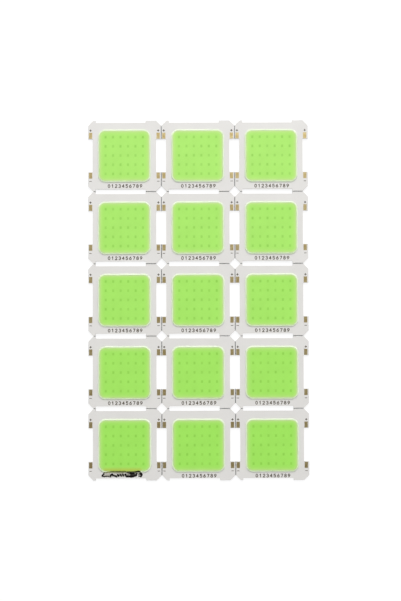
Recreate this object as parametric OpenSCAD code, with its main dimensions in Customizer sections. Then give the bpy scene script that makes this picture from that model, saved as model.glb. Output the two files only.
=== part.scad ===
// Cob led panel: square light units punched side by side in one aluminium
// sheet, ready to be snapped apart along scored lines.
//
// Each unit is built up from the sheet like this:
//   aluminium base, insulating dielectric, copper tracks, white solder mask,
//   gold plated solder pads, led chips soldered across the gap between the
//   tracks, a ring of white silicone (the dam) and a filling of phosphor
//   silicone that covers the chips.
//
// Units in millimetres. The origin is at the middle of the underside, +Z is
// the side that gives light, +Y runs along the columns of units.
// Row 1 is at the +Y end and column 1 is at the -X side.

/* [Panel] */
// Light units side by side
columns = 3; // [1:1:3]
// Light units one above the other
rows = 5; // [1:1:5]
// Distance between the centres of neighbouring columns
pitch_x = 33; // [32:0.1:40]
// Distance between the centres of neighbouring rows
pitch_y = 32.5; // [32:0.1:40]
// How much shorter the panel is at its upper and lower ends
end_trim = 0.35; // [0:0.05:0.6]
// How far the print and the recesses sit off the middle of a unit, along X
print_shift = -0.15; // [-0.3:0.05:0.3]

/* [Layers] */
// Thickness of the aluminium base
plate_t = 1; // [1:0.1:2]
// Thickness of the dielectric
dielectric_t = 0.1; // [0.05:0.01:0.15]
// Thickness of the copper
copper_t = 0.035; // [0.02:0.005:0.07]
// Thickness of the solder mask over the copper
mask_t = 0.03; // [0.02:0.005:0.04]
// Thickness of the plating on the pads
plating_t = 0.01; // [0.005:0.001:0.015]

/* [Punched edges] */
// Leg of the cut at each corner of a unit
corner_cut = 2.5; // [1:0.1:4]
// Depth of the recess in each long side edge of a unit
side_recess_d = 2.3; // [1:0.1:2.6]
// Length of the recess in each side edge
side_recess_l = 15; // [8:0.1:17]
// Depth of the recess in the upper and lower edges
end_recess_d = 1.1; // [0.6:0.1:1.8]
// Length of the recess in the upper and lower edges
end_recess_l = 22.6; // [10:0.1:24]
// How far that recess sits off centre
end_recess_shift = -1.7; // [-2:0.1:2]
// Corner radius of the punched recesses
punch_r = 0.3; // [0.1:0.05:0.5]
// How far the solder mask stops short of a punched edge
mask_setback = 0.05; // [0.02:0.01:0.1]

/* [Scored lines] */
// Depth of a scored line in each face of the base
score_d = 0.37; // [0.2:0.01:0.42]
// Angle between the two walls of a scored line
score_angle = 45; // [30:1:50]

/* [Solder pads] */
// Width of a pad
pad_w = 1.5; // [1:0.1:2.2]
// Length of a pad
pad_l = 2.7; // [1.5:0.1:3.2]
// Solder mask between a pad and the nearer scored line
pad_edge = 0.16; // [0.06:0.01:0.3]
// Bare edge and solder mask between a pad and the side recess
pad_recess_gap = 0.15; // [0.15:0.01:0.5]

/* [Light field] */
// Width of the light field, from crest to crest of the dam
field_w = 22.8; // [21:0.1:25]
// Corner radius of the light field, at the crest of the dam
field_r = 2.8; // [1.5:0.1:4]
// How far the dam and its filling sit off the middle of the chips, along Y
field_shift = -0.18; // [-0.24:0.02:0.24]
// Width of the dam where it stands on the solder mask
dam_w = 1; // [0.6:0.05:1.2]
// Height of the dam
dam_h = 0.6; // [0.45:0.05:0.8]
// How far the phosphor filling stays below the crest of the dam
fill_drop = 0.02; // [0.01:0.01:0.1]

/* [Chips] */
// Chips in a line across the light field
chip_columns = 6; // [1:1:6]
// Lines of chips, an odd number
chip_rows = 5; // [3:2:5]
// Distance between chips along a line
chip_pitch_x = 3.36; // [1.5:0.01:3.5]
// Distance between lines of chips
chip_pitch_y = 4.15; // [2:0.01:4.3]
// Width of a chip
chip_w = 0.66; // [0.4:0.01:1]
// Length of a chip, across the gap in the copper
chip_l = 1.07; // [0.8:0.01:1.4]
// Thickness of a chip
chip_t = 0.15; // [0.1:0.01:0.2]
// Height of a solder joint under a chip
joint_t = 0.04; // [0.04:0.005:0.06]
// How far a solder joint stays inside the outline of its chip and its track
joint_inset = 0.06; // [0.03:0.01:0.08]

/* [Copper] */
// Gap between the two tracks
copper_gap = 0.25; // [0.15:0.01:0.3]
// Width of the spine that joins the bars of a track
spine_w = 1.2; // [0.5:0.1:1.4]
// How far the tracks stay inside the crest of the dam
copper_inset = 0.25; // [0.2:0.05:0.5]
// How far the solder mask laps over the copper round a pad
mask_lap = 0.05; // [0.02:0.01:0.05]

/* [Reject mark] */
// Width of the marker pen's line
mark_w = 0.5; // [0.3:0.05:0.8]
// Thickness of the ink
mark_t = 0.01; // [0.005:0.001:0.02]

/* [Hidden] */
$fn = 48;
unit_kinds = ["dam", "phosphor", "chips"];

// Edges between the units, counted from 0 at the -X side and at the -Y end,
// and the middles of the units' prints
function column_edge(i) = (i - columns / 2) * pitch_x;
function row_edge(j) =
    (j - rows / 2) * pitch_y + (j == 0 ? end_trim : j == rows ? -end_trim : 0);
function unit_x(column) = (column - (columns + 1) / 2) * pitch_x + print_shift;
function unit_y(row) = ((rows + 1) / 2 - row) * pitch_y;

// Heights, from the underside of the base
copper_z = plate_t + dielectric_t;
copper_top = copper_z + copper_t;
board_top = copper_top + mask_t;
chip_z = copper_top + joint_t;

// The scored lines are V grooves. past is how far a cutter runs beyond a face.
past = 1;
score_slope = tan(score_angle / 2);
score_half = score_slope * (score_d + board_top - plate_t);

// The dam is a bead: a circle that its foot cuts off
bead_r = (dam_w * dam_w / 4 + dam_h * dam_h) / (2 * dam_h);
field_straight = field_w - 2 * field_r;
fill_h = dam_h - fill_drop;

// Pads, measured from the centre of a unit
pad_x = pitch_x / 2 - abs(print_shift) - score_half - pad_edge - pad_w / 2;
pad_y = side_recess_l / 2 + pad_recess_gap + pad_l / 2;

// Tracks: bars lie between the lines of chips, counted from 0 at the +Y end
copper_half = field_w / 2 - copper_inset;
function chip_y(line) = ((chip_rows + 1) / 2 - line) * chip_pitch_y;
function bar_top(bar) = bar == 0 ? copper_half : chip_y(bar) - copper_gap / 2;
function bar_bottom(bar) = chip_y(bar + 1) + copper_gap / 2;

// A solder joint lies between the edge of its track and the end of its chip
joint_w = chip_w - 2 * joint_inset;
joint_l = (chip_l - copper_gap) / 2 - 2 * joint_inset;
joint_y = (chip_l + copper_gap) / 4;

// Line of the marker pen, on the first unit of the last row. Each point has
// its distance from the middle of the unit, and its place between the dam, 0,
// and the lower edge of the solder mask, 1.
mark_line = [
    [-9.4, 0.07], [-10, 0.72], [-6.3, 0.7], [-5.6, 0.28], [-4.4, 0.72],
    [-3.6, 0.33], [-3, 0.77], [-2.5, 0.33], [-1.9, 0.72], [-1.4, 0.28],
    [-0.8, 0.72], [-0.3, 0.28], [0.7, 0.65], [3.4, 0.77], [4.9, 0.65],
    [1.6, 0.4], [5.3, 0.42], [5.5, 0.07], [-6.6, 0.03], [-6.2, 0.01],
    [6.6, 0.05], [7.4, 0.35], [7, 0.77], [6, 0.53]];

// ---- Shared shapes ----

// Moves a shape from the origin to the middle of one unit's print
module at_unit(row, column) {
    translate([unit_x(column), unit_y(row)]) children();
}

module on_every_unit() {
    for (r = [1 : rows], c = [1 : columns])
        at_unit(r, c) children();
}

module on_every_chip() {
    for (line = [1 : chip_rows], c = [1 : chip_columns])
        translate([(c - (chip_columns + 1) / 2) * chip_pitch_x, chip_y(line)])
            children();
}

module on_every_pad() {
    for (x = [-pad_x, pad_x], y = [-pad_y, pad_y])
        translate([x, y]) children();
}

module rounded_rectangle(w, l, r) {
    square([w - 2 * r, l], center = true);
    square([w, l - 2 * r], center = true);
    for (x = [-1, 1], y = [-1, 1])
        translate([x * (w / 2 - r), y * (l / 2 - r)]) circle(r);
}

module rectangle(x0, x1, y0, y1) {
    translate([x0, y0]) square([x1 - x0, y1 - y0]);
}

// ---- Outlines ----

// The three openings punched between units. setback makes each one larger,
// for the layers that stop short of the metal's edge.
module corner_opening(setback = 0) {
    side = 2 * (corner_cut / sqrt(2) + setback);
    rotate(45) square(side, center = true);
}

module side_opening(setback = 0) {
    rounded_rectangle(2 * (side_recess_d + setback), side_recess_l + 2 * setback, punch_r);
}

module end_opening(setback = 0) {
    translate([end_recess_shift, 0])
        rounded_rectangle(end_recess_l + 2 * setback, 2 * (end_recess_d + setback), punch_r);
}

// The board between two column edges and two row edges, less its openings
module outline(i0, i1, j0, j1, setback = 0) {
    difference() {
        rectangle(column_edge(i0) + setback, column_edge(i1) - setback,
                  row_edge(j0) + setback, row_edge(j1) - setback);
        for (i = [i0 : i1], j = [j0 : j1])
            translate([column_edge(i), row_edge(j)]) corner_opening(setback);
        for (i = [i0 : i1], j = [j0 : j1 - 1])
            translate([column_edge(i) + print_shift, unit_y(rows - j)]) side_opening(setback);
        for (i = [i0 : i1 - 1], j = [j0 : j1])
            translate([unit_x(i + 1), row_edge(j)]) end_opening(setback);
    }
}

module panel_outline() {
    outline(0, columns, 0, rows);
}

// ---- Scored lines ----

// V cutter that points down at the origin and runs along +Y and -Y
module score_cutter(length) {
    rise = score_d + board_top - plate_t + past;
    rotate([90, 0, 0])
        linear_extrude(length, center = true)
            polygon([[0, 0], [rise * score_slope, rise], [-rise * score_slope, rise]]);
}

// Cutters for the lines along column edges i0 to i1 and row edges j0 to j1.
// They leave half a groove along the outer edges of the panel.
module score_cutters(i0, i1, j0, j1) {
    for (i = [i0 : i1])
        translate([column_edge(i), 0, 0]) score_cutter(rows * pitch_y + 2 * past);
    for (j = [j0 : j1])
        translate([0, row_edge(j), 0]) rotate(90) score_cutter(columns * pitch_x + 2 * past);
}

module upper_scores(i0 = 0, i1 = columns, j0 = 0, j1 = rows) {
    translate([0, 0, plate_t - score_d]) score_cutters(i0, i1, j0, j1);
}

module lower_scores() {
    translate([0, 0, score_d]) mirror([0, 0, 1]) score_cutters(0, columns, 0, rows);
}

// ---- Sub-parts ----

module base_plate() {
    color("silver")
        difference() {
            linear_extrude(plate_t) panel_outline();
            upper_scores();
            lower_scores();
        }
}

module dielectric() {
    color("gainsboro")
        difference() {
            translate([0, 0, plate_t])
                linear_extrude(dielectric_t) panel_outline();
            upper_scores();
        }
}

// One track of a unit: a rail under the two pads of one end, and bars that
// reach between the lines of chips from a spine at the -X side
module track_outline() {
    pad_out = pad_x + pad_w / 2 + mask_lap;
    pad_in = copper_half + copper_gap;
    last_bar = chip_rows - 1;
    rectangle(-pad_out, pad_out, bar_bottom(0), pad_y + pad_l / 2 + mask_lap);
    rectangle(-copper_half, copper_half, bar_bottom(0), copper_half);
    for (x = [-1, 1])
        scale([x, 1])
            rectangle(pad_in, pad_out, pad_y - pad_l / 2 - mask_lap, bar_bottom(0));
    for (bar = [2 : 2 : last_bar])
        rectangle(-copper_half, copper_half - spine_w - copper_gap, bar_bottom(bar), bar_top(bar));
    rectangle(-copper_half, spine_w - copper_half, bar_bottom(last_bar), bar_bottom(0));
}

module track(turn) {
    color("peru")
        on_every_unit()
            translate([0, 0, copper_z])
                linear_extrude(copper_t) rotate(turn) track_outline();
}

module copper_anode() {
    track(0);
}

module copper_cathode() {
    track(180);
}

module joint_outline() {
    for (y = [-joint_y, joint_y])
        translate([0, y]) square([joint_w, joint_l], center = true);
}

// One unit's solder mask: it fills the space between the tracks and covers
// them, apart from its windows over the pads and under the chips
module unit_mask(row, column) {
    lower = rows - row;
    difference() {
        translate([0, 0, copper_z])
            linear_extrude(board_top - copper_z)
                outline(column - 1, column, lower, lower + 1, mask_setback);
        at_unit(row, column) {
            translate([0, 0, copper_z - past])
                linear_extrude(copper_t + past) {
                    track_outline();
                    rotate(180) track_outline();
                }
            translate([0, 0, copper_z])
                linear_extrude(past) {
                    on_every_pad() square([pad_w, pad_l], center = true);
                    on_every_chip() joint_outline();
                }
        }
        upper_scores(column - 1, column, lower, lower + 1);
    }
}

module solder_mask() {
    color("white")
        for (r = [1 : rows], c = [1 : columns])
            unit_mask(r, c);
}

module pad_plating() {
    color("darkkhaki")
        on_every_unit()
            translate([0, 0, copper_top])
                linear_extrude(plating_t)
                    on_every_pad() square([pad_w, pad_l], center = true);
}

module solder_joints() {
    color("lightgray")
        on_every_unit()
            translate([0, 0, copper_top])
                linear_extrude(joint_t) on_every_chip() joint_outline();
}

module chips() {
    color("slategray")
        translate([0, 0, chip_z])
            on_every_chip()
                translate([-chip_w / 2, -chip_l / 2, 0]) cube([chip_w, chip_l, chip_t]);
}

module bead_outline() {
    intersection() {
        translate([0, dam_h - bead_r]) circle(bead_r);
        translate([-bead_r, 0]) square([2 * bead_r, dam_h]);
    }
}

// Four straight beads and four quarter turns
module dam() {
    color("ivory")
        translate([0, field_shift, board_top])
            for (side = [0 : 3])
                rotate(90 * side) {
                    translate([field_w / 2, 0, 0])
                        rotate([90, 0, 0])
                            linear_extrude(field_straight, center = true) bead_outline();
                    translate([field_straight / 2, field_straight / 2, 0])
                        rotate_extrude(angle = 90)
                            translate([field_r, 0]) bead_outline();
                }
}

module phosphor() {
    color("greenyellow")
        difference() {
            translate([0, field_shift, board_top])
                linear_extrude(fill_h) rounded_rectangle(field_w, field_w, field_r);
            dam();
            // Pockets that hold the chips
            translate([0, 0, board_top - past])
                linear_extrude(chip_z + chip_t - board_top + past)
                    on_every_chip() square([chip_w, chip_l], center = true);
        }
}

// One straight stroke of the pen, with square ends
module stroke(from, to) {
    way = to - from;
    translate(from)
        rotate(atan2(way.y, way.x))
            translate([-mark_w / 2, -mark_w / 2]) square([norm(way) + mark_w, mark_w]);
}

module reject_mark() {
    dam_out = field_w / 2 + bead_r;
    strip_top = field_shift - dam_out;
    strip_end = row_edge(0) - unit_y(rows) + end_recess_d + mask_setback;
    line = [for (p = mark_line) [p.x, strip_top + p.y * (strip_end - strip_top)]];
    color("black")
        at_unit(rows, 1)
            translate([0, 0, board_top])
                linear_extrude(mark_t)
                    difference() {
                        for (i = [1 : len(line) - 1])
                            stroke(line[i - 1], line[i]);
                        translate([0, field_shift])
                            rounded_rectangle(2 * dam_out, 2 * dam_out, field_r + bead_r);
                    }
}

base_plate();
dielectric();
copper_anode();
copper_cathode();
solder_mask();
pad_plating();
solder_joints();
reject_mark();
for (r = [1 : rows]) for (c = [1 : columns]) {
    at_unit(r, c) dam();
    at_unit(r, c) phosphor();
    at_unit(r, c) chips();
}
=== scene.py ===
"""The looks of the cob led panel: fine meshes for the silicone and the print, a
material for every node, the floor, the lights and the camera.

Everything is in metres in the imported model's frame: +Z is the side that gives
light, row 1 is at the +Y end and column 1 at the -X side. Lengths are written in
millimetres, and times MM where Blender takes metres.
"""

import math

import bmesh
import bpy
import numpy as np
from mathutils import Matrix, Vector
from mathutils.bvhtree import BVHTree


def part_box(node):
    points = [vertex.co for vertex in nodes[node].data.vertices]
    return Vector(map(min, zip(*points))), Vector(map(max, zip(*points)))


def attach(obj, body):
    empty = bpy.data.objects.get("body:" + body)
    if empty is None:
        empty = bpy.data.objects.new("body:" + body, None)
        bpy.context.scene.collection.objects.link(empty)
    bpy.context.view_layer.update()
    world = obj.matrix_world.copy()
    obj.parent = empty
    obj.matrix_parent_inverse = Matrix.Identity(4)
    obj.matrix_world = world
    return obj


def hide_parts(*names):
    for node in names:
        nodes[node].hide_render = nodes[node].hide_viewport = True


MM = 0.001
ROWS = 5
COLUMNS = 3

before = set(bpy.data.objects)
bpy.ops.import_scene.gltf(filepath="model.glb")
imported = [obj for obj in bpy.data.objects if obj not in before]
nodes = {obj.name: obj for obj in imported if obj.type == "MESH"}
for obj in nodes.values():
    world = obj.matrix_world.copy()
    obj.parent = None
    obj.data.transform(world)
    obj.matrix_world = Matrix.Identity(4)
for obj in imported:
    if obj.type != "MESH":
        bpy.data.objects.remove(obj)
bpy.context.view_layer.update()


# ---- Sizes: from the frame, or the part's own where it does not give them ----

def centre_of(node):
    low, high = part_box(node)
    return (low + high) / 2


UNITS = [(r, c) for r in range(1, ROWS + 1) for c in range(1, COLUMNS + 1)]
UNIT_CENTRE = {(r, c): centre_of(f"dam_row{r}_col{c}").xy for r, c in UNITS}

BOARD_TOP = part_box("solder_mask")[1].z
DAM_LOW, DAM_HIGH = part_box("dam_row1_col1")
DAM_HEIGHT = 0.6 * MM
DAM_FOOT = 1.0 * MM

# The dam's section is a circle, cut off at the foot
BEAD_RADIUS = (DAM_FOOT ** 2 / 4 + DAM_HEIGHT ** 2) / (2 * DAM_HEIGHT)
BEAD_CENTRE = DAM_HEIGHT - BEAD_RADIUS
CREST_HALF = (DAM_HIGH.x - DAM_LOW.x) / 2 - BEAD_RADIUS
CREST_CORNER = 2.8 * MM

CHIP_COLUMNS, CHIP_ROWS = 6, 5
CHIP_PITCH_X, CHIP_PITCH_Y = 3.36, 4.15
CHIP_WIDTH, CHIP_LENGTH = 0.66, 1.07

# The chips sit a little off the middle of the dam
CHIPS_OFF_X, CHIPS_OFF_Y = (centre_of("chips_row1_col1").xy - UNIT_CENTRE[1, 1]) / MM

MARKED_UNIT = (ROWS, 1)


# ---- Node graphs ----

class Graph:
    """Short names for the shader nodes of one material or world."""

    def __init__(self, owner):
        owner.use_nodes = True
        self.tree = owner.node_tree
        self.tree.nodes.clear()

    def node(self, kind, settings=(), **inputs):
        made = self.tree.nodes.new("ShaderNode" + kind)
        for name, value in dict(settings).items():
            setattr(made, name, value)
        for name, value in inputs.items():
            self.set(made.inputs[name.replace("_", " ")], value)
        return made

    def set(self, socket, value):
        if isinstance(value, bpy.types.NodeSocket):
            self.tree.links.new(value, socket)
        elif socket.type == "VECTOR":
            socket.default_value = value[:3]
        else:
            socket.default_value = value

    def math(self, operation, *values):
        made = self.tree.nodes.new("ShaderNodeMath")
        made.operation = operation
        for socket, value in zip(made.inputs, values):
            self.set(socket, value)
        return made.outputs[0]

    def vector(self, operation, *values):
        made = self.tree.nodes.new("ShaderNodeVectorMath")
        made.operation = operation
        for socket, value in zip(made.inputs, values):
            self.set(socket, value)
        return made.outputs[0]

    def axes(self, vector):
        return self.node("SeparateXYZ", Vector=vector).outputs

    def join(self, x, y, z):
        return self.node("CombineXYZ", X=x, Y=y, Z=z).outputs[0]

    def millimetres(self):
        """The place on the object, in millimetres."""
        place = self.node("TexCoord").outputs["Object"]
        return self.vector("MULTIPLY", place, (1 / MM,) * 3)

    def noise(self, place, scale, detail, roughness=0.5):
        made = self.node("TexNoise", Vector=place, Scale=scale, Detail=detail,
                         Roughness=roughness)
        return made.outputs["Fac"]

    def streaks(self, u, v, u_scale, v_scale, detail, roughness):
        """Noise that is drawn out along one of two directions."""
        place = self.join(self.math("MULTIPLY", u, u_scale), self.math("MULTIPLY", v, v_scale), 0.0)
        return self.noise(place, 1.0, detail, roughness)

    def random(self, place):
        return self.node("TexWhiteNoise", Vector=place).outputs["Value"]

    def length(self, x, y):
        squares = (self.math("MULTIPLY", x, x), self.math("MULTIPLY", y, y))
        return self.math("SQRT", self.math("ADD", *squares))

    def ramp(self, value, low, high, to_low=0.0, to_high=1.0, smooth=False):
        """value's stretch from low to high, spread over to_low to to_high."""
        kind = "SMOOTHSTEP" if smooth else "LINEAR"
        made = self.node("MapRange", {"interpolation_type": kind})
        given = (value, low, high, to_low, to_high)
        for name, one in zip(("Value", "From Min", "From Max", "To Min", "To Max"), given):
            self.set(made.inputs[name], one)
        return made.outputs[0]

    def mix(self, factor, first, second):
        made = self.node("Mix", {"data_type": "RGBA"})
        for name, value in (("Factor_Float", factor), ("A_Color", first), ("B_Color", second)):
            socket = next(s for s in made.inputs if s.identifier == name)
            self.set(socket, value)
        return next(s for s in made.outputs if s.identifier == "Result_Color")

    def scale(self, colour, factor):
        """A colour times a number."""
        return self.vector("MULTIPLY", colour, self.join(factor, factor, factor))

    def uneven(self, noise, to_low, to_high):
        """Noise, whose values lie mostly from 0.3 to 0.7, spread over a range."""
        return self.ramp(noise, 0.3, 0.7, to_low, to_high)

    def bump(self, height, distance, strength):
        """height is in units of distance, in metres."""
        made = self.node("Bump", Height=height, Strength=strength, Distance=distance)
        return made.outputs[0]


def surface(name, **inputs):
    """A material with one Principled shader. Returns it with its graph and shader."""
    material = bpy.data.materials.new(name)
    graph = Graph(material)
    shader = graph.node("BsdfPrincipled")
    output = graph.node("OutputMaterial")
    graph.tree.links.new(shader.outputs[0], output.inputs["Surface"])
    for socket, value in inputs.items():
        graph.set(shader.inputs[socket.replace("_", " ")], value)
    return material, graph, shader


def rgb(red, green, blue):
    """A colour as it reads on a screen, 0 to 255, for a shader."""
    def linear(value):
        value /= 255
        return value / 12.92 if value <= 0.04045 else ((value + 0.055) / 1.055) ** 2.4
    return (linear(red), linear(green), linear(blue), 1.0)


# ---- Materials ----

def solder_mask_material():
    material, g, shader = surface("solder_mask", IOR=1.5)
    place = g.millimetres()
    clouds = g.uneven(g.noise(place, 0.09, 2.0), 0.975, 1.01)
    grain = g.uneven(g.noise(place, 3.0, 3.0, 0.6), -0.008, 0.008)
    tone = g.math("ADD", clouds, grain)
    g.set(shader.inputs["Base Color"], g.scale(rgb(231, 229, 226), tone))
    g.set(shader.inputs["Roughness"], g.uneven(g.noise(place, 0.5, 4.0), 0.34, 0.46))
    g.set(shader.inputs["Normal"], g.bump(g.noise(place, 2.2, 2.0), 0.004 * MM, 0.6))
    return material


def inside_crest(g, place):
    """How far inside the dam's crest a place is, in mm, up to the corner's radius."""
    core = (CREST_HALF - CREST_CORNER) / MM
    beyond = g.vector("SUBTRACT", g.vector("ABSOLUTE", place), (core,) * 3)
    x, y, _ = g.axes(g.vector("MAXIMUM", beyond, (0, 0, 0)))
    return g.math("SUBTRACT", CREST_CORNER / MM, g.length(x, y))


TINT_HALF = 0.35


def dam_material():
    material, g, shader = surface("dam_silicone", Roughness=0.5, IOR=1.41,
                                  Subsurface_Weight=1.0, Subsurface_Scale=0.5 * MM,
                                  Subsurface_Radius=(1.0, 1.0, 0.9))
    place = g.millimetres()
    # Green light from the phosphor tints the inner half of the bead
    inner = g.ramp(inside_crest(g, place), -TINT_HALF, TINT_HALF, smooth=True)
    pale = g.mix(inner, rgb(231, 253, 216), rgb(216, 253, 183))
    tone = g.uneven(g.noise(place, 0.8, 3.0), 0.985, 1.01)
    g.set(shader.inputs["Base Color"], g.scale(pale, tone))
    g.set(shader.inputs["Normal"], g.bump(g.noise(place, 1.4, 2.0), 0.01 * MM, 0.5))
    return material


# A chip shows in full over a little less than its size, and fades out round that
SPOT_HALF_WIDTH = CHIP_WIDTH / 2 - 0.08
SPOT_HALF_LENGTH = CHIP_LENGTH / 2 - 0.16
SPOT_FADE = 0.4
FAINTEST_SPOT = 0.65
# Sets the draws of one unit apart from the next one's
UNIT_SPREAD = 97.0


def nearest_chip(g, value, pitch, count, half):
    """The number of the nearest chip along one axis, and the distance from its spot."""
    steps = g.math("ADD", g.math("DIVIDE", value, pitch), (count - 1) / 2)
    number = g.math("MINIMUM", g.math("MAXIMUM", g.math("ROUND", steps), 0.0), count - 1.0)
    away = g.math("MULTIPLY", g.math("ABSOLUTE", g.math("SUBTRACT", steps, number)), pitch)
    return number, g.math("MAXIMUM", g.math("SUBTRACT", away, half), 0.0)


def chip_spots(g, place):
    """1 over each chip, fading out round it, times how plainly that chip shows."""
    x, y, _ = g.axes(g.vector("SUBTRACT", place, (CHIPS_OFF_X, CHIPS_OFF_Y, 0)))
    column, dx = nearest_chip(g, x, CHIP_PITCH_X, CHIP_COLUMNS, SPOT_HALF_WIDTH)
    line, dy = nearest_chip(g, y, CHIP_PITCH_Y, CHIP_ROWS, SPOT_HALF_LENGTH)
    unit = g.node("ObjectInfo").outputs["Random"]
    cell = g.join(column, line, g.math("MULTIPLY", unit, UNIT_SPREAD))
    shown = g.ramp(g.random(cell), 0.0, 1.0, FAINTEST_SPOT, 1.0)
    spot = g.ramp(g.length(dx, dy), 0.0, SPOT_FADE, 1.0, 0.0, smooth=True)
    return g.math("MULTIPLY", spot, shown)


# How far in the filling's pale edge, and the fainter haze beyond it, die out
RIM_DEPTH = 0.6
HAZE_DEPTH, HAZE_SHARE = 2.4, 0.2
CHIP_SHARE = 0.5
# Painted sheen: the filling's colour is lighter towards +Y, where the light's gloss falls, and
# fuller towards -Y. It changes from this far towards +Y to as far towards -Y
PAINTED_SHEEN_END = 65 * MM
# The stain's y where it starts and where it is full, then its middle in x and how
# far from there it is full and ends
STAIN_START, STAIN_FULL, STAIN_SHARE = -9.2, -11.0, 0.9
STAIN_MIDDLE, STAIN_FLAT, STAIN_END = -1.0, 7.4, 9.6


def stain(g, place):
    """How much ink covers the filling, in a band along its lower edge."""
    x, y, _ = g.axes(place)
    near = g.ramp(y, STAIN_START, STAIN_FULL, 0.0, STAIN_SHARE, smooth=True)
    away = g.math("ABSOLUTE", g.math("SUBTRACT", x, STAIN_MIDDLE))
    wide = g.ramp(away, STAIN_FLAT, STAIN_END, 1.0, 0.0, smooth=True)
    return g.math("MULTIPLY", near, wide)


def phosphor_material(name, stained=False):
    """The green filling. Ink has run over its edge where it is stained."""
    material, g, shader = surface(name, IOR=1.41)
    place = g.millimetres()
    # The pale dam shows through where the filling runs out over its flank
    inside = g.math("MAXIMUM", inside_crest(g, place), 0.0)
    rim = g.math("EXPONENT", g.math("DIVIDE", inside, -RIM_DEPTH))
    haze = g.math("EXPONENT", g.math("DIVIDE", inside, -HAZE_DEPTH))
    # Painted sheen: the mix is lighter towards the first row, at +Y where the light comes from, and
    # fuller in colour towards the last row
    _, y, _ = g.axes(g.node("ObjectInfo").outputs["Location"])
    painted_sheen_fade = g.ramp(y, PAINTED_SHEEN_END, -PAINTED_SHEEN_END)
    plain = g.mix(painted_sheen_fade, rgb(172, 238, 109), rgb(161, 237, 94))
    spots = g.math("MULTIPLY", chip_spots(g, place), CHIP_SHARE)
    colour = g.mix(spots, plain, rgb(112, 198, 50))
    colour = g.mix(g.math("MULTIPLY", haze, HAZE_SHARE), colour, rgb(214, 237, 128))
    colour = g.mix(rim, colour, rgb(214, 232, 172))
    if stained:
        colour = g.mix(stain(g, place), colour, rgb(184, 208, 74))
    clouds = g.uneven(g.noise(place, 0.16, 2.0), 0.975, 1.015)
    grain = g.uneven(g.noise(place, 5.0, 3.0, 0.7), -0.02, 0.02)
    g.set(shader.inputs["Base Color"], g.scale(colour, g.math("ADD", clouds, grain)))
    g.set(shader.inputs["Roughness"], g.uneven(g.noise(place, 0.3, 3.0), 0.34, 0.46))
    g.set(shader.inputs["Normal"], g.bump(g.noise(place, 0.35, 2.0), 0.03 * MM, 0.5))
    return material


def aluminium_material():
    """Rolled faces, sheared edges and scored walls, told apart by their slope."""
    material, g, shader = surface("aluminium", Metallic=1.0, IOR=1.45)
    place = g.millimetres()
    x, y, z = g.axes(place)
    slope = g.math("ABSOLUTE", g.axes(g.node("NewGeometry").outputs["True Normal"])[2])
    face = g.ramp(slope, 0.9, 0.95)
    edge = g.ramp(slope, 0.1, 0.05)
    rolled = g.streaks(x, y, 9.0, 0.15, 5.0, 0.65)
    sheared = g.streaks(g.math("ADD", x, y), z, 14.0, 0.8, 4.0, 0.6)
    texture = g.math("ADD", g.math("MULTIPLY", face, rolled),
                     g.math("MULTIPLY", g.math("SUBTRACT", 1.0, face), sheared))
    colour = g.mix(edge, rgb(226, 228, 230), rgb(206, 207, 208))
    g.set(shader.inputs["Base Color"], g.scale(colour, g.uneven(texture, 0.93, 1.03)))
    rough = g.math("ADD", g.uneven(texture, 0.26, 0.42), g.math("MULTIPLY", edge, 0.12))
    g.set(shader.inputs["Roughness"], rough)
    g.set(shader.inputs["Normal"], g.bump(texture, 0.012 * MM, 0.6))
    return material


def gold_material():
    """Thin plating: satin, with small scuffs and a slight tarnish."""
    material, g, shader = surface("gold_plating", Metallic=1.0, IOR=1.45)
    place = g.millimetres()
    x, y, _ = g.axes(place)
    scuffs = g.streaks(x, y, 1.2, 7.0, 4.0, 0.7)
    tarnish = g.ramp(g.noise(place, 0.7, 3.0), 0.35, 0.7)
    colour = g.mix(tarnish, rgb(229, 210, 156), rgb(210, 186, 128))
    g.set(shader.inputs["Base Color"], g.scale(colour, g.uneven(scuffs, 0.9, 1.06)))
    g.set(shader.inputs["Roughness"], g.uneven(scuffs, 0.3, 0.44))
    g.set(shader.inputs["Normal"], g.bump(scuffs, 0.004 * MM, 0.6))
    return material


# y from the light field's middle, where the ink leaves the board for the dam
DAM_EDGE_LOW, DAM_EDGE_HIGH = -12.2, -11.9


def marker_material():
    """Marker ink over the pale board and, more olive, over the green of the dam."""
    material, g, shader = surface("marker_ink", IOR=1.25)
    place = g.millimetres()
    _, y, _ = g.axes(place)
    patches = g.noise(place, 1.3, 3.0)
    cover = g.node("Attribute", {"attribute_name": "cover"}).outputs["Fac"]
    thin = g.math("MULTIPLY", g.math("SUBTRACT", 1.0, cover), g.uneven(patches, 0.6, 1.4))
    over_dam = g.ramp(y, DAM_EDGE_LOW, DAM_EDGE_HIGH, smooth=True)
    ink = g.mix(over_dam, rgb(17, 12, 7), rgb(36, 42, 2))
    bare = g.mix(over_dam, rgb(224, 220, 208), rgb(214, 232, 122))
    g.set(shader.inputs["Base Color"], g.mix(thin, ink, bare))
    g.set(shader.inputs["Roughness"], g.uneven(patches, 0.45, 0.65))
    return material


GRAIN_DEPTH = 0.003 * MM
ROUGH_SPREAD = 0.06


def plain_material(name, colour, spread, roughness, scale, metallic=0.0):
    """A slightly uneven surface: colour that varies by spread, with a fine grain."""
    material, g, shader = surface(name, Metallic=metallic)
    grain = g.noise(g.millimetres(), scale, 4.0, 0.6)
    tone = g.uneven(grain, 1 - spread, 1 + spread)
    rough = g.uneven(grain, roughness - ROUGH_SPREAD, roughness + ROUGH_SPREAD)
    g.set(shader.inputs["Base Color"], g.scale(colour, tone))
    g.set(shader.inputs["Roughness"], rough)
    g.set(shader.inputs["Normal"], g.bump(grain, GRAIN_DEPTH, 0.5))
    return material


# What is seen of the floor is mostly its own glow, with this share of its shading
# taken away
FLOOR_WHITE = (0.9, 0.9, 0.9, 1.0)
FLOOR_GLOW = 0.86
FLOOR_DIMMED = 0.78


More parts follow.
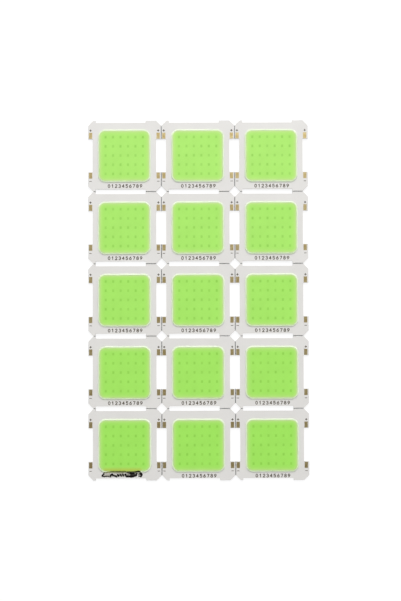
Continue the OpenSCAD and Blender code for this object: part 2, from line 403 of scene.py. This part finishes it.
def floor_material():
    """White to the eye, with the object's shadow kept at part of its depth."""
    material = bpy.data.materials.new("floor")
    g = Graph(material)
    link = g.tree.links.new

    def blend(factor, first, second):
        mixed = g.node("MixShader", Fac=factor)
        link(first.outputs[0], mixed.inputs[1])
        link(second.outputs[0], mixed.inputs[2])
        return mixed

    card = g.node("BsdfDiffuse", Color=FLOOR_WHITE)
    path = g.node("LightPath").outputs
    seen = g.math("MAXIMUM", path["Is Camera Ray"],
                  g.math("MAXIMUM", path["Is Glossy Ray"], path["Is Transmission Ray"]))
    both = g.node("AddShader")
    link(blend(FLOOR_DIMMED, card, g.node("Emission", Strength=0.0)).outputs[0], both.inputs[0])
    link(g.node("Emission", Strength=FLOOR_GLOW).outputs[0], both.inputs[1])
    # Open from below, so that the back of the panel can be looked at
    below = g.node("NewGeometry").outputs["Backfacing"]
    sided = blend(below, blend(seen, card, both), g.node("BsdfTransparent"))
    link(sided.outputs[0], g.node("OutputMaterial").inputs["Surface"])
    return material


# ---- Meshes ----

def add_piece(name, vertices, faces, material, place, replaced=(), smooth=True):
    """Makes a mesh piece that rides on the part's one body."""
    mesh = bpy.data.meshes.new(name)
    mesh.from_pydata([tuple(v) for v in vertices], [], faces)
    mesh.materials.append(material)
    mesh.validate()
    made = bmesh.new()
    made.from_mesh(mesh)
    bmesh.ops.recalc_face_normals(made, faces=made.faces)
    made.to_mesh(mesh)
    made.free()
    if smooth:
        mesh.shade_smooth()
    else:
        mesh.shade_flat()
    piece = bpy.data.objects.new(name, mesh)
    bpy.context.scene.collection.objects.link(piece)
    piece.location = place
    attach(piece, "root")
    if replaced:
        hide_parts(*replaced)
    return piece


SIDE_STEPS = 22
CORNER_STEPS = 14


def crest_line():
    """Points and outward directions along the dam's crest, round one unit."""
    straight = CREST_HALF - CREST_CORNER
    points, outward = [], []
    for side in range(4):
        turn = Matrix.Rotation(math.pi / 2 * side, 2)
        for i in range(SIDE_STEPS):
            points.append(turn @ Vector((CREST_HALF, straight * (2 * i / SIDE_STEPS - 1))))
            outward.append(turn @ Vector((1, 0)))
        for i in range(CORNER_STEPS):
            angle = math.pi / 2 * i / CORNER_STEPS
            way = Vector((math.cos(angle), math.sin(angle)))
            points.append(turn @ (Vector((straight, straight)) + way * CREST_CORNER))
            outward.append(turn @ way)
    return points, outward


CREST_POINTS, CREST_OUTWARD = crest_line()
CREST_COUNT = len(CREST_POINTS)


def wander(count, waves, size, rng):
    """A smooth closed line of count numbers that strays by size at most. Its shorter
    waves are the weaker ones.
    """
    turn = np.arange(count) * 2 * np.pi / count
    line = np.zeros(count)
    for wave in range(1, waves + 1):
        line += rng.normal() / wave ** 0.7 * np.sin(wave * turn + rng.uniform(0, 2 * np.pi))
    return size * line / max(np.abs(line).max(), 1e-9)


def bead_height(offset, swell=0.0):
    """Height of the dam's surface, at a distance from its crest."""
    return BEAD_CENTRE + math.sqrt(max((BEAD_RADIUS + swell) ** 2 - offset ** 2, 0.0))


def closed_rings(rings):
    """Faces between neighbouring rings of equal length, each a closed loop."""
    count = len(rings[0])
    faces = []
    for low, high in zip(rings, rings[1:]):
        for i in range(count):
            j = (i + 1) % count
            faces.append((low[i], low[j], high[j], high[i]))
    return faces


BEAD_STEPS = 18
DAM_SWELL = 0.012 * MM
DAM_SHIFT = 0.02 * MM


def make_dam(row, column, material):
    """A bead that swells and strays a little. Returns both, for the filling."""
    rng = np.random.default_rng(100 * row + column)
    swell = wander(CREST_COUNT, waves=9, size=DAM_SWELL, rng=rng)
    shift = wander(CREST_COUNT, waves=6, size=DAM_SHIFT, rng=rng)
    low = math.asin(BEAD_CENTRE / BEAD_RADIUS)
    vertices, rings = [], []
    for k in range(BEAD_STEPS + 1):
        angle = -low + (math.pi + 2 * low) * k / BEAD_STEPS
        ring = []
        for i in range(CREST_COUNT):
            radius = BEAD_RADIUS + swell[i]
            out = shift[i] + radius * math.cos(angle)
            at = CREST_POINTS[i] + CREST_OUTWARD[i] * out
            height = max(BEAD_CENTRE + radius * math.sin(angle), 0.0)
            ring.append(len(vertices))
            vertices.append((at.x, at.y, height))
        rings.append(ring)
    faces = closed_rings(rings + [rings[0]])
    x, y = UNIT_CENTRE[row, column]
    node = f"dam_row{row}_col{column}"
    add_piece(f"dam_bead_row{row}_col{column}", vertices, faces, material,
              (x, y, BOARD_TOP), [node])
    return swell, shift


# The filling's edge is this far inside the crest, and its surface sinks from there
# to its level, over about the meniscus
EDGE_INSET = 0.2 * MM
FILL_LEVEL = 0.548 * MM
MENISCUS = 0.32 * MM
FLANK_STEPS = 6
# Rings of its surface: distances from its edge in mm, then shares of the last ring
EDGE_RINGS = [0.07, 0.15, 0.25, 0.38, 0.55, 0.8, 1.2, 1.8]
INNER_RINGS = [0.85, 0.7, 0.55, 0.4, 0.25, 0.12]


def make_phosphor(row, column, material, swell, shift):
    """The filling: it climbs the dam's inner side almost to the crest."""
    vertices, rings = [], []

    def add_ring(points):
        rings.append(list(range(len(vertices), len(vertices) + len(points))))
        vertices.extend(points)

    def along(inset, heights):
        ring = []
        for i, height in enumerate(heights):
            at = CREST_POINTS[i] + CREST_OUTWARD[i] * (shift[i] - inset)
            ring.append((at.x, at.y, height))
        return ring

    foot = DAM_FOOT / 2
    add_ring(along(foot, [0.0] * CREST_COUNT))
    for k in range(1, FLANK_STEPS + 1):
        inset = foot + (EDGE_INSET - foot) * (k / FLANK_STEPS)
        add_ring(along(inset, [max(bead_height(inset, s), 0.0) for s in swell]))
    rises = [bead_height(EDGE_INSET, s) - FILL_LEVEL for s in swell]
    for inset in EDGE_RINGS:
        share = math.exp(-inset * MM / MENISCUS)
        add_ring(along(EDGE_INSET + inset * MM, [FILL_LEVEL + rise * share for rise in rises]))
    last = [Vector(vertices[i]) for i in rings[-1]]
    for share in INNER_RINGS:
        add_ring([(v.x * share, v.y * share, v.z) for v in last])
    faces = closed_rings(rings)
    for ring, height in ((rings[-1], FILL_LEVEL), (rings[0], 0.0)):
        middle = len(vertices)
        vertices.append((0.0, 0.0, height))
        faces += [(ring[i], ring[(i + 1) % CREST_COUNT], middle) for i in range(CREST_COUNT)]
    x, y = UNIT_CENTRE[row, column]
    node = f"phosphor_row{row}_col{column}"
    add_piece(f"phosphor_fill_row{row}_col{column}", vertices, faces, material,
              (x, y, BOARD_TOP), [node])


# ---- Print and marker ----

def sweep(cx, cy, rx, ry, start, end, steps=14):
    """Points along part of an ellipse, between two angles in degrees."""
    angles = np.radians(np.linspace(start, end, steps + 1))
    return [(cx + rx * math.cos(a), cy + ry * math.sin(a)) for a in angles]


def resample(points, step):
    """Points along a line, no farther apart than step. Corners are kept."""
    fine = [points[0]]
    for a, b in zip(points, points[1:]):
        count = max(1, math.ceil(math.dist(a, b) / step))
        fine += [tuple(p + (q - p) * k / count for p, q in zip(a, b)) for k in range(1, count + 1)]
    return fine


def flowing(points, step):
    """Points on a smooth curve through the given ones, about step apart."""
    given = [np.array(p) for p in points]
    given = [2 * given[0] - given[1]] + given + [2 * given[-1] - given[-2]]
    fine = [given[1]]
    for before, a, b, after in zip(given, given[1:], given[2:], given[3:]):
        count = max(1, math.ceil(math.dist(a[:2], b[:2]) / step))
        bend = 2 * before - 5 * a + 4 * b - after
        twist = 3 * a - before - 3 * b + after
        for t in np.arange(1, count + 1) / count:
            fine.append(a + ((b - before) * t + bend * t ** 2 + twist * t ** 3) / 2)
    return np.array(fine)


# One wave of a marker line's width per this length, and the share that it varies by
MARKER_WAVE = 0.6
MARKER_UNEVEN = 0.14
# Keeps the tip of a line from closing to a point
TIP_LEAST = 0.06


def pen_widths(fine, rng):
    """Half widths along a marker line: uneven, and drawn in to round ends."""
    steps = np.hypot(*np.diff(fine[:, :2], axis=0).T)
    reach = np.concatenate([[0.0], np.cumsum(steps)])
    waves = max(2, round(reach[-1] / MARKER_WAVE))
    halves = fine[:, 2] * (1 + MARKER_UNEVEN * wander(len(fine), waves, 1.0, rng))
    inward = np.clip(np.minimum(reach, reach[-1] - reach) / halves, 0, 1)
    return halves * np.sqrt(np.clip(1 - (1 - inward) ** 2, TIP_LEAST, 1))


# Pen lines of each digit, drawn 1 wide and 1.75 high
DRAWN_HIGH = 1.75
SIX = [(0.76, 1.75), (0.42, 1.35), (0.16, 0.95)] + sweep(0.5, 0.52, 0.44, 0.52, 165, -190, 20)
DIGITS = [
    [sweep(0.5, 0.875, 0.43, 0.875, 90, 446, 24)],
    [[(0.18, 1.35), (0.55, 1.75), (0.55, 0.0)]],
    [sweep(0.5, 1.3, 0.42, 0.45, 170, -35) + [(0.06, 0.0), (0.96, 0.0)]],
    [sweep(0.47, 1.33, 0.4, 0.42, 155, -90), sweep(0.47, 0.45, 0.46, 0.45, 90, -155)],
    [[(0.72, 0.0), (0.72, 1.75), (0.02, 0.52)], [(0.02, 0.52), (0.98, 0.52)]],
    [[(0.9, 1.75), (0.18, 1.75), (0.12, 0.98)] + sweep(0.47, 0.57, 0.46, 0.57, 105, -150)],
    [SIX],
    [[(0.04, 1.75), (0.95, 1.75), (0.36, 0.0)]],
    [sweep(0.5, 1.33, 0.36, 0.42, -90, 266, 20), sweep(0.5, 0.45, 0.44, 0.45, 90, 446, 20)],
    [[(1.0 - x, DRAWN_HIGH - y) for x, y in SIX]],
]

# The print of a unit, from the middle of its light field. The pens are half widths.
DIGIT_WIDE, DIGIT_HIGH = 0.95, 1.35
DIGIT_STEP = 1.6
DIGITS_LEFT, DIGITS_LOW = -7.4, -14.22
SIGN_X, PLUS_Y, MINUS_Y = 15.26, 11.52, -11.4
PLUS_ARM, MINUS_ARM = 0.42, 0.48
DIGIT_PEN, PLUS_PEN, MINUS_PEN = 0.152, 0.15, 0.12
PRINT_UNEVEN = 0.1
PRINT_STEP = 0.12
# Lines that cross follow one another, so a few levels keep their tops apart
PRINT_LEVELS = 3
PRINT_SEED = 7000

# The ink's thickness, the step from one band to the next, and the share of a step
# that a band rises along its length
INK_THICK = 0.012
INK_STEP = 0.001
INK_RISE = 0.8
# Keeps a line from growing too wide where it bends sharply
LEAST_BEND = 0.6


def pen_band(points, half_widths, across, level, number):
    """A closed band of ink along a pen line, in mm. across says where its points lie
    over its width, from -1 to 1, and level(x, y) is the height under it. Each numbered
    band is a step thicker than the last, and rises by less than a step along its
    length, so that no two tops lie at one height where lines cross.
    """
    line = [Vector(p) for p in points]
    vertices, faces = [], []
    for i, at in enumerate(line):
        before = (at - line[i - 1]).normalized() if i else None
        after = (line[i + 1] - at).normalized() if i + 1 < len(line) else None
        way = ((before or after) + (after or before)).normalized()
        side = Vector((-way.y, way.x))
        next_side = Vector((-(after or before).y, (after or before).x))
        stretch = 1 / max(side.dot(next_side), LEAST_BEND)
        end = 0.5 if before is None else -0.5 if after is None else 0.0
        at = at - way * half_widths[i] * end
        thick = INK_THICK + INK_STEP * (number + INK_RISE * i / len(line))
        spots = [at + side * (step * half_widths[i] * stretch) for step in across]
        for x, y in spots:
            vertices.append((x * MM, y * MM, (level(x, y) + thick) * MM))
        for x, y in reversed(spots):
            vertices.append((x * MM, y * MM, (level(x, y) - INK_STEP) * MM))
    loop = 2 * len(across)
    faces.append(tuple(range(loop)))
    faces.append(tuple(range(len(vertices) - loop, len(vertices))))
    rings = [list(range(start, start + loop)) for start in range(0, len(vertices), loop)]
    return vertices, faces + closed_rings(rings)


def join_bands(bands):
    vertices, faces = [], []
    for more, their_faces in bands:
        base = len(vertices)
        vertices += more
        faces += [tuple(base + v for v in face) for face in their_faces]
    return vertices, faces


def board_level(_x, _y):
    return 0.0


def make_print(row, column, material):
    """The polarity signs, and a row of digits under the light field."""
    rng = np.random.default_rng(PRINT_SEED + 100 * row + column)
    lines = []
    if (row, column) != MARKED_UNIT:
        for digit, pens in enumerate(DIGITS):
            left = DIGITS_LEFT + DIGIT_STEP * digit
            lines += [[(left + x * DIGIT_WIDE, DIGITS_LOW + y * DIGIT_HIGH / DRAWN_HIGH)
                       for x, y in pen] for pen in pens]
    widths = [DIGIT_PEN] * len(lines)
    for x in (-SIGN_X, SIGN_X):
        lines += [[(x - PLUS_ARM, PLUS_Y), (x + PLUS_ARM, PLUS_Y)],
                  [(x, PLUS_Y - PLUS_ARM), (x, PLUS_Y + PLUS_ARM)],
                  [(x - MINUS_ARM, MINUS_Y), (x + MINUS_ARM, MINUS_Y)]]
        widths += [PLUS_PEN, PLUS_PEN, MINUS_PEN]
    bands = []
    for line, width in zip(lines, widths):
        fine = resample(line, PRINT_STEP)
        uneven = width + PRINT_UNEVEN * width * wander(len(fine), waves=9, size=1.0, rng=rng)
        bands.append(pen_band(fine, uneven, (-1, 1), board_level, len(bands) % PRINT_LEVELS))
    vertices, faces = join_bands(bands)
    x, y = UNIT_CENTRE[row, column]
    add_piece(f"print_row{row}_col{column}", vertices, faces, material,
              (x, y, BOARD_TOP), smooth=False)


# Marker pen lines from the middle of the light field: how far the ink covers what
# lies under it, then x, y and half the width at each point
MARKER_SMEARS = [
    (0.57, [(-9.4, -11.95, 0.15), (-8.0, -11.85, 0.32), (-6.5, -11.7, 0.42), (-3.0, -11.65, 0.46),
           (0.0, -11.65, 0.46), (3.0, -11.68, 0.48), (5.5, -11.6, 0.48), (7.2, -11.75, 0.2)]),
    (0.34, [(-9.5, -12.75, 0.4), (-8.0, -12.8, 0.75), (-6.4, -12.8, 0.7)]),
    (0.69, [(-6.1, -13.5, 0.4), (-5.2, -13.3, 0.5), (-4.4, -13.3, 0.45), (-3.9, -13.35, 0.4)]),
    (0.34, [(-5.0, -12.5, 0.3), (-3.5, -12.4, 0.3), (-0.5, -12.3, 0.3)]),
    (0.63, [(-3.75, -13.2, 0.4), (-2.5, -13.15, 0.68), (-1.0, -13.1, 0.74), (0.3, -13.15, 0.66)]),
    (0.57, [(0.6, -12.75, 0.45), (2.3, -12.75, 0.45)]),
    (0.95, [(2.0, -12.4, 0.2), (2.6, -12.75, 0.5), (3.6, -12.8, 0.68), (4.7, -12.8, 0.6)]),
    (0.69, [(4.6, -12.6, 0.5), (5.3, -12.6, 0.5)]),
    (0.69, [(5.7, -12.5, 0.35), (6.3, -12.75, 0.55), (7.0, -13.0, 0.7)]),
    (0.69, [(-9.4, -14.0, 0.2), (-8.9, -14.05, 0.15)]),
    (0.69, [(-7.2, -14.0, 0.2), (-6.0, -14.05, 0.16)]),
]
MARKER_LINES = [
    (0.8, [(-7.0, -11.7, 0.12), (-6.0, -11.5, 0.28), (-4.0, -11.48, 0.28), (-2.0, -11.48, 0.31),
           (0.0, -11.52, 0.31), (0.8, -11.7, 0.37)]),
    (1.0, [(0.7, -11.78, 0.37), (1.4, -11.88, 0.47), (2.4, -11.95, 0.47), (3.4, -11.95, 0.47),
           (4.4, -11.85, 0.37), (5.0, -11.72, 0.4), (6.0, -11.55, 0.52), (6.7, -11.6, 0.4),
           (7.1, -11.75, 0.19)]),
    (1.0, [(-9.1, -12.15, 0.22), (-9.4, -12.55, 0.34), (-9.8, -13.15, 0.4), (-9.95, -13.6, 0.55),
           (-9.9, -13.95, 0.31)]),
    (0.93, [(-9.75, -13.68, 0.37), (-9.0, -13.7, 0.32), (-8.0, -13.66, 0.3), (-7.0, -13.66, 0.34)]),
    (1.0, [(-6.85, -13.62, 0.37), (-6.5, -13.56, 0.5), (-6.25, -13.25, 0.42), (-6.05, -12.95, 0.37),
           (-5.6, -12.8, 0.42), (-5.1, -12.85, 0.3)]),
    (1.0, [(-5.6, -13.4, 0.22), (-4.9, -13.45, 0.32), (-4.2, -13.6, 0.42), (-3.7, -13.85, 0.37),
           (-3.3, -14.1, 0.24)]),
    (1.0, [(-3.35, -12.65, 0.3), (-3.05, -13.1, 0.37), (-2.75, -13.6, 0.5), (-2.6, -13.9, 0.3)]),
    (1.0, [(-2.1, -12.55, 0.3), (-1.95, -13.0, 0.37), (-1.65, -13.45, 0.34), (-1.4, -13.85, 0.3)]),
    (0.97, [(-1.0, -12.45, 0.28), (-0.8, -12.95, 0.34), (-0.5, -13.45, 0.32),
            (-0.3, -13.85, 0.24)]),
    (1.0, [(0.28, -12.4, 0.3), (0.35, -12.8, 0.52), (0.42, -13.15, 0.34), (0.75, -13.6, 0.52),
           (1.5, -13.7, 0.47), (2.2, -13.7, 0.47), (3.0, -13.7, 0.57), (3.8, -13.66, 0.44),
           (4.6, -13.5, 0.4), (5.1, -13.2, 0.47), (5.3, -12.7, 0.34), (5.5, -12.2, 0.34)]),
    (1.0, [(2.3, -12.4, 0.24), (3.0, -12.45, 0.32), (4.0, -12.42, 0.4), (4.5, -12.4, 0.2)]),
    (1.0, [(6.6, -12.3, 0.24), (7.0, -12.45, 0.5), (7.35, -12.68, 0.64), (7.5, -13.05, 0.52),
           (7.4, -13.45, 0.42), (7.15, -13.85, 0.42), (7.0, -14.1, 0.28)]),
    (1.0, [(6.1, -13.65, 0.24), (6.7, -13.72, 0.42)]),
]
# Short strokes side by side that fill the darkest patch
MARKER_HATCH = [(0.97, [(x, -12.75, 0.16), (x + 0.3, -13.35, 0.2)])
                for x in (2.6, 3.1, 3.6, 4.1, 4.55)]
MARKER_STEP = 0.08
MARKER_ACROSS = np.linspace(-1, 1, 9)
# The share of its cover that a smear loses towards its sides
SMEAR_SOFT = 0.6
CLEAR_OF_DAM = 2 * MM
MARKER_SEED = 41


def make_marker(material):
    """The pen strokes of the reject mark, laid over the board and the dam's flank."""
    row, column = MARKED_UNIT
    surfaces = []
    for kind in ("dam_bead", "phosphor_fill"):
        mesh = bpy.data.objects[f"{kind}_row{row}_col{column}"].data
        shape = bmesh.new()
        shape.from_mesh(mesh)
        surfaces.append(BVHTree.FromBMesh(shape))
        shape.free()

    def level(x, y):
        above = Vector((x * MM, y * MM, CLEAR_OF_DAM))
        found = [tree.ray_cast(above, Vector((0, 0, -1)))[0] for tree in surfaces]
        return max([0.0] + [hit.z / MM for hit in found if hit])

    rng = np.random.default_rng(MARKER_SEED)
    bands, covers = [], []
    for number, (cover, pen) in enumerate(MARKER_SMEARS + MARKER_LINES + MARKER_HATCH):
        fine = flowing(pen, MARKER_STEP)
        widths = pen_widths(fine, rng)
        bands.append(pen_band(fine[:, :2], widths, MARKER_ACROSS, level, number))
        soft = SMEAR_SOFT if number < len(MARKER_SMEARS) else 0.0
        fading = cover * (1 - soft * np.abs(MARKER_ACROSS) ** 3)
        covers += list(np.tile(np.concatenate([fading, fading[::-1]]), len(fine)))
    vertices, faces = join_bands(bands)
    x, y = UNIT_CENTRE[row, column]
    piece = add_piece("marker_strokes", vertices, faces, material, (x, y, BOARD_TOP),
                      ["reject_mark"])
    piece.data.attributes.new("cover", "FLOAT", "POINT").data.foreach_set("value", covers)


# ---- Camera, lights and floor ----

CAMERA_DISTANCE = 480 * MM
CAMERA_TILT = math.radians(1.34)
CAMERA_ROLL = math.radians(0.17)
CAMERA_AIM = Vector((0.95 * MM, -0.34 * MM, 1.2 * MM))
PICTURE_HEIGHT = 269.75 * MM

SOFTBOX_PLACE = Vector((0.12, 0.8, 0.9))
SOFTBOX_SIZE = 0.8
SOFTBOX_WATTS = 9.0

# The floor lies just under the panel's back, so that the two are never at one height
FLOOR_HALF = 3.0
FLOOR_DROP = 0.02 * MM


def make_camera():
    data = bpy.data.cameras.new("camera")
    data.sensor_width = 36
    data.lens = data.sensor_width * CAMERA_DISTANCE / PICTURE_HEIGHT
    data.clip_start = 0.01
    data.clip_end = 50
    camera = bpy.data.objects.new("camera", data)
    bpy.context.scene.collection.objects.link(camera)
    back = Vector((0, -math.sin(CAMERA_TILT), math.cos(CAMERA_TILT)))
    right = Vector((math.cos(CAMERA_ROLL), -math.sin(CAMERA_ROLL), 0))
    up = back.cross(right).normalized()
    right = up.cross(back)
    turn = Matrix((right, up, back)).transposed().to_4x4()
    camera.matrix_world = Matrix.Translation(CAMERA_AIM + back * CAMERA_DISTANCE) @ turn
    bpy.context.scene.camera = camera


def make_softbox():
    """One square light behind the panel's +Y end, turned towards its middle."""
    data = bpy.data.lights.new("softbox", "AREA")
    data.shape = "SQUARE"
    data.size = SOFTBOX_SIZE
    data.energy = SOFTBOX_WATTS
    lamp = bpy.data.objects.new("softbox", data)
    bpy.context.scene.collection.objects.link(lamp)
    lamp.location = SOFTBOX_PLACE
    lamp.rotation_euler = (-SOFTBOX_PLACE).to_track_quat("-Z", "Y").to_euler()


def make_world():
    """A soft room: pale at the horizon, dimmer overhead where the camera is."""
    world = bpy.data.worlds.new("room")
    bpy.context.scene.world = world
    g = Graph(world)
    _, y, z = g.axes(g.node("TexCoord").outputs["Generated"])
    height = g.ramp(z, 0.5, 0.97, 1.08, 0.22, smooth=True)
    toward = g.ramp(y, -0.5, 0.5, 0.92, 1.08)
    back = g.node("Background", Strength=g.math("MULTIPLY", height, toward))
    g.tree.links.new(back.outputs[0], g.node("OutputWorld").inputs["Surface"])


def make_floor():
    mesh = bpy.data.meshes.new("floor")
    signs = ((-1, -1), (1, -1), (1, 1), (-1, 1))
    mesh.from_pydata([(x * FLOOR_HALF, y * FLOOR_HALF, 0) for x, y in signs], [], [(0, 1, 2, 3)])
    mesh.materials.append(floor_material())
    floor = bpy.data.objects.new("floor", mesh)
    bpy.context.scene.collection.objects.link(floor)
    floor.location.z = -FLOOR_DROP


def paint(node, material):
    """Gives a CAD node its material."""
    target = nodes[node]
    target.data.materials.clear()
    target.data.materials.append(material)


def main():
    bpy.context.scene.view_settings.view_transform = "Standard"
    make_camera()
    make_world()
    make_floor()
    make_softbox()

    dam = dam_material()
    phosphor = phosphor_material("phosphor_silicone")
    stained = phosphor_material("phosphor_stained", stained=True)
    ink = plain_material("black_ink", rgb(66, 55, 32), 0.15, 0.5, 6.0)
    for row, column in UNITS:
        swell, shift = make_dam(row, column, dam)
        filling = stained if (row, column) == MARKED_UNIT else phosphor
        make_phosphor(row, column, filling, swell, shift)
        make_print(row, column, ink)
    make_marker(marker_material())

    paint("base_plate", aluminium_material())
    paint("solder_mask", solder_mask_material())
    paint("pad_plating", gold_material())
    paint("dielectric", plain_material("dielectric", rgb(212, 208, 194), 0.05, 0.6, 4.0))
    copper = plain_material("copper", rgb(214, 146, 112), 0.06, 0.35, 2.0, metallic=1.0)
    paint("copper_anode", copper)
    paint("copper_cathode", copper)
    solder = plain_material("solder", rgb(205, 206, 208), 0.06, 0.3, 6.0, metallic=1.0)
    paint("solder_joints", solder)
    chip = plain_material("led_chip", rgb(92, 116, 128), 0.1, 0.15, 8.0)
    for row, column in UNITS:
        paint(f"chips_row{row}_col{column}", chip)


main()
